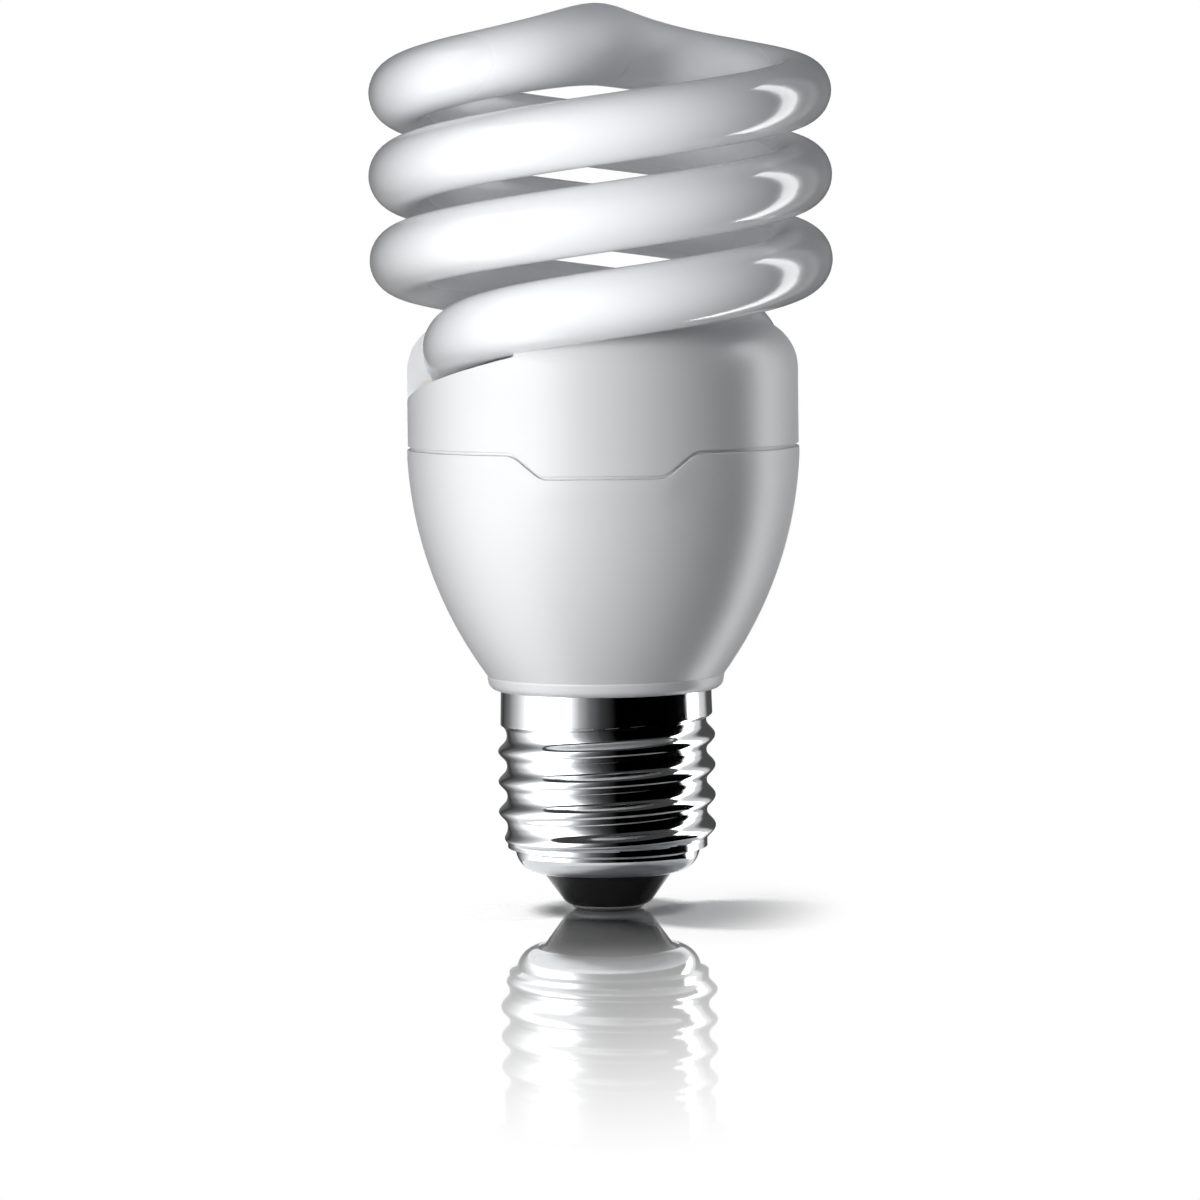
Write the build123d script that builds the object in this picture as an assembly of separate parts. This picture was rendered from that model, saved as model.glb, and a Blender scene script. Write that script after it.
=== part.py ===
from build123d import *
from math import asin, cos, degrees, pi, radians, sin
import os

# Spiral compact fluorescent lamp on a screw cap, in millimetres.
# The lamp axis is Z, the cap's contact stands on Z = 0, and the front of the lamp faces -Y.

# Cap: contact, insulator and the rolled shell with its round ridges
contact_radius = 4.4
contact_height = 0.6
contact_edge = 0.35
insulator_height = 4.0
insulator_foot_radius = 5.0
insulator_top_radius = 7.8
insulator_bore = 0.8
insulator_depth = 4.6
shell_wall = 0.32
shell_rim_radius = 8.75
shell_foot_radius = 11.05
shell_foot_height = 2.9
shell_bowl_radius = 3.5
thread_crest_radius = 13.0
thread_root_radius = 11.95
thread_pitch = 3.629
thread_height = 15.6
thread_ridges = 4
thread_lead_in = 3.35
ridge_half_width = 1.05
collar_radius = 12.7
collar_height = 3.4

# Lower housing, a cup that narrows in one arc to the neck in the shell
housing_height = 29.0
housing_rim_radius = 23.4
housing_mid_step = 2.86
housing_mid_height = 13.7
housing_foot_radius = 14.1
housing_lip_height = 1.6
housing_wall = 1.6
lip_overhang = 0.7
lip_edge = 0.8
throat_taper = 2.0
neck_radius = 11.3
neck_depth = 12.5
groove_height = 0.44
groove_depth = 0.5

# Upper cover that carries the tube
cover_step = 0.13
cover_height = 15.0
cover_shoulder = 6.0
cover_wall = 1.5
skirt_wall = 1.5
tab_top_half = 10.6
tab_foot_half = 7.3
tab_depth = 2.75
tab_corner = 0.9
joint_clearance = 0.2

# Seats where the tube dives into the cover: a ramp that ends in a wall
ramp_drop = 10.6
ramp_lead = 34.3
ramp_sweep = 63.0
ramp_inset = 3.8

# Glass tube: a double helix, two legs and a bridge with a raised cold spot
tube_radius = 4.0
coil_radius = 23.5
coil_pitch = 20.0
coil_rise = 7.05
leg_turn = 285.0
leg_end = 152.0
leg_inset = 4.1
leg_drop = 4.0
bridge_turn = 712.0
bridge_sweep = 80.0
bridge_peak = 32.5
cold_spot_half_width = 4.3
cold_spot_half_height = 4.9
cold_spot_reach = 0.6
tube_clearance = 0.15
cement_thickness = 1.2
cement_sweep = 14.0

# Ballast board and the wires to it
board_thickness = 1.6
board_clearance = 0.3
ledge_width = 1.3
skirt_depth = 5.0
post_width = 0.9
post_height = 3.0
post_spread = 1.6
lead_radius = 0.25
wire_radius = 0.45
shell_lead_angle = -32.0
contact_lead_place = (-2.6, -4.4)
contact_lead_rise = 8.0
contact_lead_straight = 2.0
contact_lead_bend = 2.0

# Ballast components, named by what they do, with their places on the board
capacitor_radius = 5.0
capacitor_length = 20.0
capacitor_pin = 7.0
capacitor_edge = 0.5
capacitor_place = (4.0, 0.0)
pin_radius = 0.3
choke_width = 12.0
choke_depth = 10.0
choke_height = 11.0
choke_place = (-7.5, 5.2)
choke_leg = 3.6
choke_yoke = 2.2
bobbin_wall = 0.6
winding_round = 1.2
ring_radius = 4.4
ring_bore = 2.4
ring_height = 4.0
ring_wire = 0.35
ring_edge = 0.3
ring_turns = 9
ring_place = (-9.6, -5.6)
film_size = (10.0, 4.6, 8.5)
film_round = 1.2
film_places = {"resonant_capacitor": (4.6, 10.6), "blocking_capacitor": (4.6, -11.2)}
transistor_radius = 2.4
transistor_flat = 1.5
transistor_height = 4.8
transistor_places = {"transistor_high": (13.2, 3.6), "transistor_low": (13.2, -3.6)}
filter_radius = 3.4
filter_height = 9.0
filter_flange = 0.9
filter_core = 1.7
filter_relief = 0.4
filter_place = (-4.4, -13.2)
diode_radius = 1.3
diode_length = 5.0
diode_spacing = 4.4
diode_row = -3.6
diode_count = 4
resistor_radius = 1.15
resistor_length = 6.0
resistor_row = 4.4
resistor_names = ("start_resistor", "base_resistor", "fuse_resistor", "trigger_diac")

# Heights of the joints between the pieces, from the contact up
shell_bottom = contact_height + insulator_height
thread_bottom = shell_bottom + shell_foot_height
thread_top = thread_bottom + thread_height
shell_top = thread_top + collar_height
parting = shell_top + housing_height
cover_top = parting + cover_height
board_top = parting - skirt_depth
board_bottom = board_top - board_thickness
pocket_radius = housing_rim_radius - housing_wall
skirt_radius = pocket_radius - joint_clearance
board_radius = pocket_radius - board_clearance
housing_mid_radius = housing_rim_radius - housing_mid_step
cover_radius = housing_rim_radius - cover_step
leg_radius = skirt_radius - skirt_wall - leg_inset
ramp_inner_radius = leg_radius - ramp_inset
coil_datum = cover_top + coil_rise
bridge_height = coil_datum + bridge_peak - coil_rise
choke_window = (choke_width - choke_leg - 2.0 * choke_yoke) / 2.0
bobbin_width = choke_leg + 2.0 * bobbin_wall
axis_z = Axis.Z


def spun(points):
    return revolve(Plane.XZ * make_face(Polyline(*points, close=True)), axis_z)


def polar(angle, radius, height):
    return Vector(radius * cos(radians(angle)), radius * sin(radians(angle)), height)


def half_turn(shape):
    return Rot(0, 0, 180) * shape


def standing(radius, height):
    return Cylinder(radius, height, align=(Align.CENTER, Align.CENTER, Align.MIN))


def hanging(radius, height):
    return Cylinder(radius, height, align=(Align.CENTER, Align.CENTER, Align.MAX))


def ease(t):
    return t * t * (3.0 - 2.0 * t)


# Glass tube

def helix_height(angle):
    return coil_datum + coil_pitch * (angle - 360.0) / 360.0


def helix_tangent(angle):
    run = polar(angle + 90.0, 2.0 * pi * coil_radius, coil_pitch)
    return run.normalized()


def leg_point(t):
    angle = leg_turn + (leg_end - leg_turn) * t
    radius = coil_radius - (coil_radius - leg_radius) * ease(t)
    return polar(angle, radius, helix_height(angle) - leg_drop * t ** 3)


def bridge_point(t):
    w = (1.0 - t) * pi / 2.0
    foot = helix_height(bridge_turn)
    climb = coil_pitch / 360.0 * bridge_sweep * pi / 2.0
    height = foot + climb * t * (1.0 - t) ** 2 + (bridge_height - foot) * ease(t)
    return polar(bridge_turn + bridge_sweep * cos(w), coil_radius * sin(w), height)


def leg_path():
    steps = 10
    points = [leg_point(1.0 - i / steps) for i in range(steps + 1)]
    near_end = 1.0 - 0.1 / steps
    inward = (leg_point(near_end) - leg_point(1.0)).normalized()
    return Spline(*points, tangents=[inward, helix_tangent(leg_turn)])


def coil_path():
    rise = coil_pitch * (bridge_turn - leg_turn) / 360.0
    helix = Helix(coil_pitch, rise, coil_radius)
    return Pos(0, 0, helix_height(leg_turn)) * Rot(0, 0, leg_turn) * helix


def along(path, radius):
    section = Plane(origin=path @ 0, z_dir=path % 0) * Circle(radius)
    return sweep(section, path=path, is_frenet=True)


def across(path, u):
    heading = path % u
    return Plane(origin=path @ u, x_dir=Vector(0, 0, 1).cross(heading), z_dir=heading)


def round_section(path, u, radius):
    return across(path, u) * Rot(0, 0, 90) * Circle(radius)


def leg_form(radius):
    path = leg_path()
    stations = 12
    return loft([round_section(path, i / stations, radius) for i in range(stations + 1)])


def bridge_path():
    steps = 8
    points = [bridge_point(i / steps) for i in range(steps + 1)]
    level = polar(bridge_turn + bridge_sweep + 180.0, 1.0, 0.0)
    return Spline(*points, tangents=[helix_tangent(bridge_turn), level])


def bridge_section(path, u):
    swell = ease(max(0.0, 1.0 - (1.0 - u) / cold_spot_reach))
    if swell == 0.0:
        return round_section(path, u, tube_radius)
    half_width = tube_radius + (cold_spot_half_width - tube_radius) * swell
    half_height = tube_radius + (cold_spot_half_height - tube_radius) * swell
    return across(path, u) * Ellipse(half_width, half_height)


def spiral_tube():
    path = bridge_path()
    stations = 12
    half_bridge = loft([bridge_section(path, i / stations) for i in range(stations + 1)])
    limb = half_bridge + along(coil_path(), tube_radius) + leg_form(tube_radius)
    return limb + half_turn(limb)


# Cap

def shell_outline(inset):
    rim = (shell_rim_radius - inset, shell_bottom + inset)
    foot = (shell_foot_radius - inset, thread_bottom - inset / 2.0)
    root = thread_root_radius - inset
    ring = collar_radius - inset
    edges = [RadiusArc(rim, foot, -shell_bowl_radius)]
    last = foot
    for i in range(thread_ridges):
        middle = thread_bottom + thread_lead_in + i * thread_pitch
        low = (root, middle - ridge_half_width)
        high = (root, middle + ridge_half_width)
        edges.append(Line(last, low))
        edges.append(ThreePointArc(low, (thread_crest_radius - inset, middle), high))
        last = high
    edges.append(Polyline(last, (ring, thread_top), (ring, shell_top), (0, shell_top), (0, rim[1]), rim))
    return make_face(edges)


def shell_form(inset):
    return revolve(Plane.XZ * shell_outline(inset), axis_z)


def screw_shell():
    mouth = Pos(0, 0, shell_bottom) * Cylinder(shell_rim_radius - shell_wall, 2.0 * shell_foot_height)
    return shell_form(0.0) - shell_form(shell_wall) - mouth


def cap_insulator(shell):
    top = shell_bottom + insulator_depth
    seat = shell_foot_radius - shell_wall
    body = spun([(insulator_bore, contact_height), (insulator_foot_radius, contact_height),
                 (insulator_top_radius, shell_bottom - shell_wall),
                 (shell_rim_radius - shell_wall, shell_bottom), (seat, thread_bottom),
                 (seat, top), (insulator_bore, top)])
    return body - shell


def centre_contact():
    disc = standing(contact_radius, contact_height)
    return fillet(disc.edges().group_by(axis_z)[0], contact_edge)


# Housing and cover

def tab_face(grow):
    drop = tab_depth + grow
    outline = Polyline((-tab_top_half - grow, parting), (-tab_foot_half - grow, parting - drop),
                       (tab_foot_half + grow, parting - drop), (tab_top_half + grow, parting), close=True)
    face = make_face(outline)
    return fillet(face.vertices().group_by(Axis.Y)[0], tab_corner + grow)


def tab_block(grow):
    reach = housing_rim_radius * 2.0
    return extrude(Plane.XZ * tab_face(grow), amount=reach)


def housing_arc(inset):
    return ThreePointArc((housing_rim_radius - inset, parting),
                         (housing_mid_radius - inset, shell_top + housing_mid_height),
                         (housing_foot_radius - inset, shell_top + housing_lip_height))


def ballast_housing():
    lip = collar_radius + lip_overhang
    seat = collar_radius - shell_wall
    neck_foot = shell_top - neck_depth
    throat = shell_top + housing_lip_height
    outer = make_face([housing_arc(0.0),
                       Polyline((housing_foot_radius, throat), (housing_foot_radius, shell_top + lip_edge),
                                (lip, shell_top), (seat, shell_top), (seat, thread_top),
                                (neck_radius, thread_top), (neck_radius, neck_foot), (0, neck_foot),
                                (0, parting), (housing_rim_radius, parting))])
    bore = neck_radius - housing_wall
    inner = make_face([housing_arc(housing_wall),
                       Polyline((housing_foot_radius - housing_wall, throat), (bore, throat - throat_taper),
                                (bore, neck_foot), (0, neck_foot), (0, parting),
                                (housing_rim_radius - housing_wall, parting))])
    ledge_radius = board_radius - ledge_width
    hollow = revolve(Plane.XZ * inner, axis_z)
    core = hollow & Pos(0, 0, board_bottom) * Cylinder(ledge_radius, 4.0 * housing_height)
    ledge_band = Pos(0, 0, board_bottom - skirt_depth) * Cylinder(2.0 * cover_radius, 2.0 * skirt_depth)
    pocket = Pos(0, 0, board_bottom) * standing(pocket_radius, skirt_depth + board_thickness)
    groove = Pos(0, 0, parting - groove_height / 2.0) * (
        Cylinder(2.0 * housing_rim_radius, groove_height)
        - Cylinder(housing_rim_radius - groove_depth, groove_height))
    hollow = core + (hollow - ledge_band) + pocket
    return revolve(Plane.XZ * outer, axis_z) - hollow - groove - tab_block(joint_clearance)


def cover_form(inset):
    side = cover_radius - inset
    round_over = cover_shoulder - inset / 2.0
    top = cover_top - inset
    shoulder = RadiusArc((side, top - round_over), (side - round_over, top), -round_over)
    walls = Polyline((side - round_over, top), (0, top), (0, parting), (side, parting),
                     (side, top - round_over))
    return revolve(Plane.XZ * make_face([shoulder, walls]), axis_z)


def ramp_seat(grow):
    foot = cover_top - ramp_drop - grow
    height = ramp_drop + 2.0 * grow
    margin = degrees(asin(grow / cover_radius))
    reach = 2.0 * cover_radius
    half_disc = Circle(reach) & Pos(0, -reach) * Rectangle(4.0 * reach, 2.0 * reach)
    facing = Pos(0, 0, foot) * Rot(0, 0, -180.0 - margin) * half_disc
    turn = 360.0 * height / ramp_lead
    above = Solid.extrude_linear_with_rotation(facing.face(), (0, 0, foot), (0, 0, height), turn)
    first = 180.0 - margin
    last = 180.0 + ramp_sweep + margin
    middle = (first + last) / 2.0
    far = 2.0 * reach
    wedge = make_face(Polyline((0, 0), polar(first, far, 0), polar(middle, far, 0), polar(last, far, 0),
                               close=True))
    sector = Pos(0, 0, foot) * extrude(wedge, height)
    inner = Pos(0, 0, foot) * Cylinder(ramp_inner_radius - grow, 4.0 * height)
    return (sector & above) - inner


def tube_holder():
    seat = ramp_seat(0.0)
    backing = ramp_seat(cover_wall)
    hollow = cover_form(cover_wall) - backing - half_turn(backing)
    skirt = standing(skirt_radius, skirt_depth) - standing(skirt_radius - skirt_wall, skirt_depth)
    wall = standing(cover_radius, tab_depth) - standing(skirt_radius, tab_depth)
    tab = Pos(0, 0, parting - tab_depth) * wall & tab_block(0.0)
    bore = tube_radius + tube_clearance
    hole = leg_form(bore) + along(coil_path(), bore)
    body = cover_form(0.0) - seat - half_turn(seat) - hollow
    return body + Pos(0, 0, board_top) * skirt + tab - hole - half_turn(hole)


def tube_cement(holder, tube):
    span = cement_sweep / (leg_turn - leg_end)
    first = (leg_turn - 180.0) / (leg_turn - leg_end)
    steps = 4
    path = Spline(*[leg_point(first + span * (1.0 - i / steps)) for i in range(steps + 1)])
    pieces = (along(path, tube_radius + cement_thickness) - tube - holder).solids()
    return pieces.sort_by(SortBy.VOLUME)[-1]


# Ballast

def on_board(place):
    return Pos(place[0], place[1], board_bottom)


def circuit_board():
    return Pos(0, 0, board_bottom) * standing(board_radius, board_thickness)


def smoothing_capacitor():
    can = Pos(0, 0, -capacitor_pin) * hanging(capacitor_radius, capacitor_length)
    can = fillet(can.edges().filter_by(GeomType.CIRCLE), capacitor_edge)
    for side in (-1, 1):
        can += Pos(0, side * capacitor_radius / 2.0, 0) * hanging(pin_radius, capacitor_pin)
    return on_board(capacitor_place) * can


def choke_middle():
    return on_board(choke_place) * Pos(0, 0, -choke_height / 2.0)


def choke_core():
    core = Box(choke_width, choke_leg, choke_height)
    opening = Box(choke_window, choke_leg, choke_height - 2.0 * choke_yoke)
    shift = (choke_leg + choke_window) / 2.0
    for side in (-1, 1):
        core -= Pos(side * shift, 0, 0) * opening
    return choke_middle() * core


def choke_bobbin():
    width = choke_leg + 2.0 * choke_window
    height = choke_height - 2.0 * choke_yoke
    flange = Box(width, choke_depth, bobbin_wall)
    body = Box(bobbin_width, bobbin_width, height)
    for side in (-1, 1):
        body += Pos(0, 0, side * (height - bobbin_wall) / 2.0) * flange
    return choke_middle() * (body - Box(choke_leg, choke_leg, height))


def choke_winding():
    width = choke_leg + 2.0 * choke_window
    height = choke_height - 2.0 * choke_yoke - 2.0 * bobbin_wall
    coil = Box(width, choke_depth - 2.0 * bobbin_wall, height)
    coil = fillet(coil.edges().filter_by(axis_z), winding_round)
    return choke_middle() * (coil - Box(bobbin_width, bobbin_width, height))


def drive_core():
    ring = hanging(ring_radius, ring_height) - hanging(ring_bore, ring_height)
    return on_board(ring_place) * Pos(0, 0, -2.0 * ring_wire) * fillet(ring.edges(), ring_edge)


def drive_windings(core):
    middle = (ring_radius + ring_bore) / 2.0
    width = ring_radius - ring_bore + 2.0 * ring_wire
    height = ring_height + 2.0 * ring_wire
    opening = Rectangle(width - 2.0 * ring_wire, height - 2.0 * ring_wire)
    loop = extrude(RectangleRounded(width, height, ring_wire) - opening, ring_wire, both=True)
    winding = Part()
    for i in range(ring_turns):
        winding += Rot(0, 0, 360.0 * i / ring_turns) * Pos(middle, 0, 0) * Rot(90, 0, 0) * loop
    return on_board(ring_place) * Pos(0, 0, -2.0 * ring_wire - ring_height / 2.0) * winding - core


def film_capacitor(place):
    body = Box(*film_size, align=(Align.CENTER, Align.CENTER, Align.MAX))
    return on_board(place) * fillet(body.edges().filter_by(axis_z), film_round)


def transistor(place):
    body = hanging(transistor_radius, transistor_height)
    body -= Pos(transistor_radius + transistor_flat, 0, 0) * hanging(transistor_radius, transistor_height)
    return on_board(place) * body


def filter_inductor():
    drum = hanging(filter_radius, filter_height)
    waist = filter_height - 2.0 * filter_flange
    groove = hanging(filter_radius, waist) - hanging(filter_core, waist)
    return on_board(filter_place) * (drum - Pos(0, 0, -filter_flange) * groove)


def filter_winding():
    waist = filter_height - 2.0 * filter_flange
    coil = hanging(filter_radius - filter_relief, waist) - hanging(filter_core, waist)
    return on_board(filter_place) * Pos(0, 0, -filter_flange) * coil


def lying(radius, length, place):
    body = Rot(90, 0, 0) * Cylinder(radius, length)
    body = fillet(body.edges().filter_by(GeomType.CIRCLE), radius / 4.0)
    return Pos(place[0], place[1], board_top + radius) * body


def lead_places():
    end = leg_point(1.0)
    spread = polar(leg_end, post_spread, 0)
    one_end = [end - spread, end + spread]
    return one_end + [Vector(-p.X, -p.Y, p.Z) for p in one_end]


def wire_post(place):
    return Pos(place.X, place.Y, board_top) * Box(post_width, post_width, post_height,
                                                  align=(Align.CENTER, Align.CENTER, Align.MIN))


def tube_lead(place, tube):
    foot = board_top + post_height
    wire = standing(lead_radius, place.Z - foot + tube_radius)
    pieces = (Pos(place.X, place.Y, foot) * wire - tube).solids()
    return pieces.sort_by(axis_z)[0]


def wire_along(points, bend):
    path = FilletPolyline(*points, radius=bend)
    return along(path, wire_radius)


def shell_lead(shell):
    run = neck_radius - housing_wall - 2.0 * wire_radius
    low = shell_top - neck_depth - 4.0 * wire_radius
    points = [polar(shell_lead_angle, run, board_bottom), polar(shell_lead_angle, run, low),
              polar(shell_lead_angle, thread_crest_radius, low)]
    pieces = (wire_along(points, 1.5 * wire_radius) - shell).solids()
    return pieces.sort_by(SortBy.VOLUME)[-1]


def contact_lead():
    foot = shell_bottom + insulator_depth
    points = [(*contact_lead_place, board_bottom), (*contact_lead_place, foot + contact_lead_rise),
              (0, 0, foot + contact_lead_straight), (0, 0, contact_height)]
    return wire_along(points, contact_lead_bend)


def pieces():
    tube = spiral_tube()
    holder = tube_holder()
    shell = screw_shell()
    cement = tube_cement(holder, tube)
    core = drive_core()
    made = {
        "spiral_tube": tube,
        "tube_holder": holder,
        "ballast_housing": ballast_housing(),
        "screw_shell": shell,
        "cap_insulator": cap_insulator(shell),
        "centre_contact": centre_contact(),
        "tube_cement_1": cement,
        "tube_cement_2": half_turn(cement),
        "circuit_board": circuit_board(),
        "smoothing_capacitor": smoothing_capacitor(),
        "choke_core": choke_core(),
        "choke_bobbin": choke_bobbin(),
        "choke_winding": choke_winding(),
        "drive_core": core,
        "drive_windings": drive_windings(core),
        "filter_inductor": filter_inductor(),
        "filter_winding": filter_winding(),
        "shell_lead": shell_lead(shell),
        "contact_lead": contact_lead(),
    }
    for name, place in film_places.items():
        made[name] = film_capacitor(place)
    for name, place in transistor_places.items():
        made[name] = transistor(place)
    for i in range(diode_count):
        column = (i - (diode_count - 1) / 2.0) * diode_spacing
        made[f"rectifier_diode_{i + 1}"] = lying(diode_radius, diode_length, (column, diode_row))
        made[resistor_names[i]] = lying(resistor_radius, resistor_length, (column, resistor_row))
    for i, place in enumerate(lead_places()):
        made[f"wire_post_{i + 1}"] = wire_post(place)
        made[f"tube_lead_{i + 1}"] = tube_lead(place, tube)
    return made


os.makedirs("parts", exist_ok=True)
for node, shape in pieces().items():
    export_step(shape, f"parts/{node}.step")
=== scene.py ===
import math

import bpy
from mathutils import Matrix, Vector


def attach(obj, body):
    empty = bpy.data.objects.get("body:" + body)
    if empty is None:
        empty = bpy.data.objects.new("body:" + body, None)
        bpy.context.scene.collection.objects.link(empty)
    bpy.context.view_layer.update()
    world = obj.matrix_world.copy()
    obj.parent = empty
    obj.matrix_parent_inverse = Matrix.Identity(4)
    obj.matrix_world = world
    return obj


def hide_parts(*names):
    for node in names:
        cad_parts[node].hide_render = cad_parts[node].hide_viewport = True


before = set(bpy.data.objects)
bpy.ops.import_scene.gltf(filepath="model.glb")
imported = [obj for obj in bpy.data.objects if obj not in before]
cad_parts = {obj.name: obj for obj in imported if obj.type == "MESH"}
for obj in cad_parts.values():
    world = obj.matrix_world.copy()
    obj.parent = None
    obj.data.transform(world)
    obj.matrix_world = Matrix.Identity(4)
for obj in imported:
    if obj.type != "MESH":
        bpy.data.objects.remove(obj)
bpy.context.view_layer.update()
mm = 0.001
mergeWithin = 0.002 * mm    # points closer than this become one
print("frame loaded,", len(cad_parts), "nodes")


# small helpers that every piece uses

def startClean():
    if bpy.context.mode != "OBJECT":
        bpy.ops.object.mode_set(mode="OBJECT")
    bpy.ops.object.select_all(action="DESELECT")


def nameNew(name):
    piece = bpy.context.object
    piece.name = name
    piece.data.name = name
    return piece


def polar(angle, radius, height):
    return Vector((radius * math.cos(angle), radius * math.sin(angle), height))


def ease(t):
    t = min(1.0, max(0.0, t))
    return t * t * (3.0 - 2.0 * t)


def blendTo(a, b, t):
    return a + (b - a) * t


def arcThrough(first, middle, last, count):
    # points on the circle through three points of a profile
    (ax, ay), (bx, by), (cx, cy) = first, middle, last
    a, b, c = ax * ax + ay * ay, bx * bx + by * by, cx * cx + cy * cy
    d = 2.0 * (ax * (by - cy) + bx * (cy - ay) + cx * (ay - by))
    ux = (a * (by - cy) + b * (cy - ay) + c * (ay - by)) / d
    uy = (a * (cx - bx) + b * (ax - cx) + c * (bx - ax)) / d
    radius = math.hypot(ax - ux, ay - uy)
    start = math.atan2(ay - uy, ax - ux)
    stop = math.atan2(cy - uy, cx - ux)
    turns = [blendTo(start, stop, i / count) for i in range(count + 1)]
    return [(ux + radius * math.cos(turn), uy + radius * math.sin(turn)) for turn in turns]


def roundCorner(before, corner, after, radius, count):
    # a few points in place of one sharp corner of a profile
    corner = Vector(corner)
    toBefore = Vector(before) - corner
    toAfter = Vector(after) - corner
    reach = min(radius, 0.48 * min(toBefore.length, toAfter.length))    # short of a side's middle
    start = corner + toBefore.normalized() * reach
    stop = corner + toAfter.normalized() * reach
    points = []
    for i in range(count + 1):
        t = i / count
        p = start * (1 - t) ** 2 + corner * 2 * t * (1 - t) + stop * t * t
        points.append((p.x, p.y))
    return points


def roundedOutline(corners, count):
    # corners hold (radius, height, rounding); rounding 0 keeps the point
    outline = []
    for i, (r, z, rounding) in enumerate(corners):
        if rounding and 0 < i < len(corners) - 1:
            outline += roundCorner(corners[i - 1][:2], (r, z), corners[i + 1][:2], rounding, count)
        else:
            outline.append((r, z))
    return outline


def spread(points, count):
    # evenly spaced points along a run of straight lines
    lengths = [0.0]
    for a, b in zip(points, points[1:]):
        lengths.append(lengths[-1] + math.dist(a, b))
    result = []
    leg = 0
    for i in range(count):
        want = lengths[-1] * i / (count - 1)
        while leg < len(points) - 2 and lengths[leg + 1] < want:
            leg += 1
        t = (want - lengths[leg]) / max(1e-9, lengths[leg + 1] - lengths[leg])
        a, b = points[leg], points[leg + 1]
        result.append((blendTo(a[0], b[0], t), blendTo(a[1], b[1], t)))
    return result


def drawOutline(name, outline):
    # one vertex is extruded along the outline, in the plane y = 0
    startClean()
    bpy.ops.mesh.primitive_plane_add(size=mm)
    piece = nameNew(name)
    bpy.ops.object.mode_set(mode="EDIT")
    bpy.ops.mesh.select_all(action="SELECT")
    bpy.ops.mesh.merge(type="CENTER")
    bpy.ops.transform.translate(value=(outline[0][0] * mm, 0, outline[0][1] * mm))
    for (r0, z0), (r1, z1) in zip(outline, outline[1:]):
        step = ((r1 - r0) * mm, 0, (z1 - z0) * mm)
        bpy.ops.mesh.extrude_region_move(TRANSFORM_OT_translate={"value": step})
    return piece


def closeMesh():
    # run in edit mode: merges what meets and turns the faces outwards
    bpy.ops.mesh.select_all(action="SELECT")
    bpy.ops.mesh.remove_doubles(threshold=mergeWithin)
    bpy.ops.mesh.delete_loose(use_verts=True, use_edges=True, use_faces=False)
    bpy.ops.mesh.select_all(action="SELECT")
    bpy.ops.mesh.normals_make_consistent(inside=False)
    bpy.ops.object.mode_set(mode="OBJECT")


def spinOutline(name, outline, steps):
    piece = drawOutline(name, outline)
    bpy.ops.mesh.select_all(action="SELECT")
    bpy.ops.mesh.spin(steps=steps, angle=2 * math.pi, center=(0, 0, 0), axis=(0, 0, 1))
    closeMesh()
    return piece


def smoothShade(piece, angle):
    startClean()
    piece.select_set(True)
    bpy.context.view_layer.objects.active = piece
    bpy.ops.object.shade_smooth_by_angle(angle=math.radians(angle))


sleeveRadius = 30.0     # of the plain sleeve, one row to a millimetre


def shapedSleeve(name, columns, columnOf):
    # a plain sleeve is spun, and its points are then set on the real form, column by column;
    # columnOf(angle) gives that column's outline, one point for each row
    rows = len(columnOf(0.0))
    piece = spinOutline(name, [(sleeveRadius, row) for row in range(rows)], columns)
    step = 2 * math.pi / columns
    known = {}
    for vertex in piece.data.vertices:
        column = round(math.atan2(vertex.co.y, vertex.co.x) / step) % columns
        angle = (column + 0.5) * step       # a ramp's end falls between two columns
        if column not in known:
            known[column] = columnOf(angle)
        radius, height = known[column][round(vertex.co.z / mm)]
        vertex.co = polar(angle, radius * mm, height * mm)
    bpy.context.view_layer.objects.active = piece
    bpy.ops.object.mode_set(mode="EDIT")
    closeMesh()
    return piece


# glass tube: two limbs of a double helix, each a ring extruded along its way, joined by the bridge

tubeSizes = {
    "glassRadius": 4.0,
    "coilRadius": 23.5,
    "turnPitch": 20.0,
    "datum": 77.55,
    "legTurn": 285.0,
    "legEnd": 152.0,
    "legRadius": 16.0,
    "legDrop": 4.0,
    "bridgeTurn": 712.0,
    "bridgeSweep": 80.0,
    "bridgeTop": 103.0,
    "coldSpotWidth": 4.3,
    "coldSpotHeight": 4.9,
    "coldSpotReach": 0.6,
    "ringPoints": 44,
    "legSteps": 36,
    "coilSteps": 118,
    "bridgeSteps": 34,
    "headingStep": 0.002,
    "joinWithin": 0.02,
    "smoothAngle": 50,
}


def helixHeight(angle):
    return tubeSizes["datum"] + tubeSizes["turnPitch"] * (angle - 360.0) / 360.0


def legPoint(t):
    # from the leg's end in the cover up to the coil
    s = tubeSizes
    t = 1.0 - t
    angle = blendTo(s["legTurn"], s["legEnd"], t)
    radius = blendTo(s["coilRadius"], s["legRadius"], ease(t))
    return polar(math.radians(angle), radius, helixHeight(angle) - s["legDrop"] * t ** 3)


def coilPoint(t):
    angle = blendTo(tubeSizes["legTurn"], tubeSizes["bridgeTurn"], t)
    return polar(math.radians(angle), tubeSizes["coilRadius"], helixHeight(angle))


def bridgePoint(t):
    s = tubeSizes
    w = (1.0 - t) * math.pi / 2.0
    foot = helixHeight(s["bridgeTurn"])
    climb = s["turnPitch"] / 360.0 * s["bridgeSweep"] * math.pi / 2.0
    height = foot + climb * t * (1.0 - t) ** 2 + (s["bridgeTop"] - foot) * ease(t)
    turn = math.radians(s["bridgeTurn"] + s["bridgeSweep"] * math.cos(w))
    return polar(turn, s["coilRadius"] * math.sin(w), height)


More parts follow.
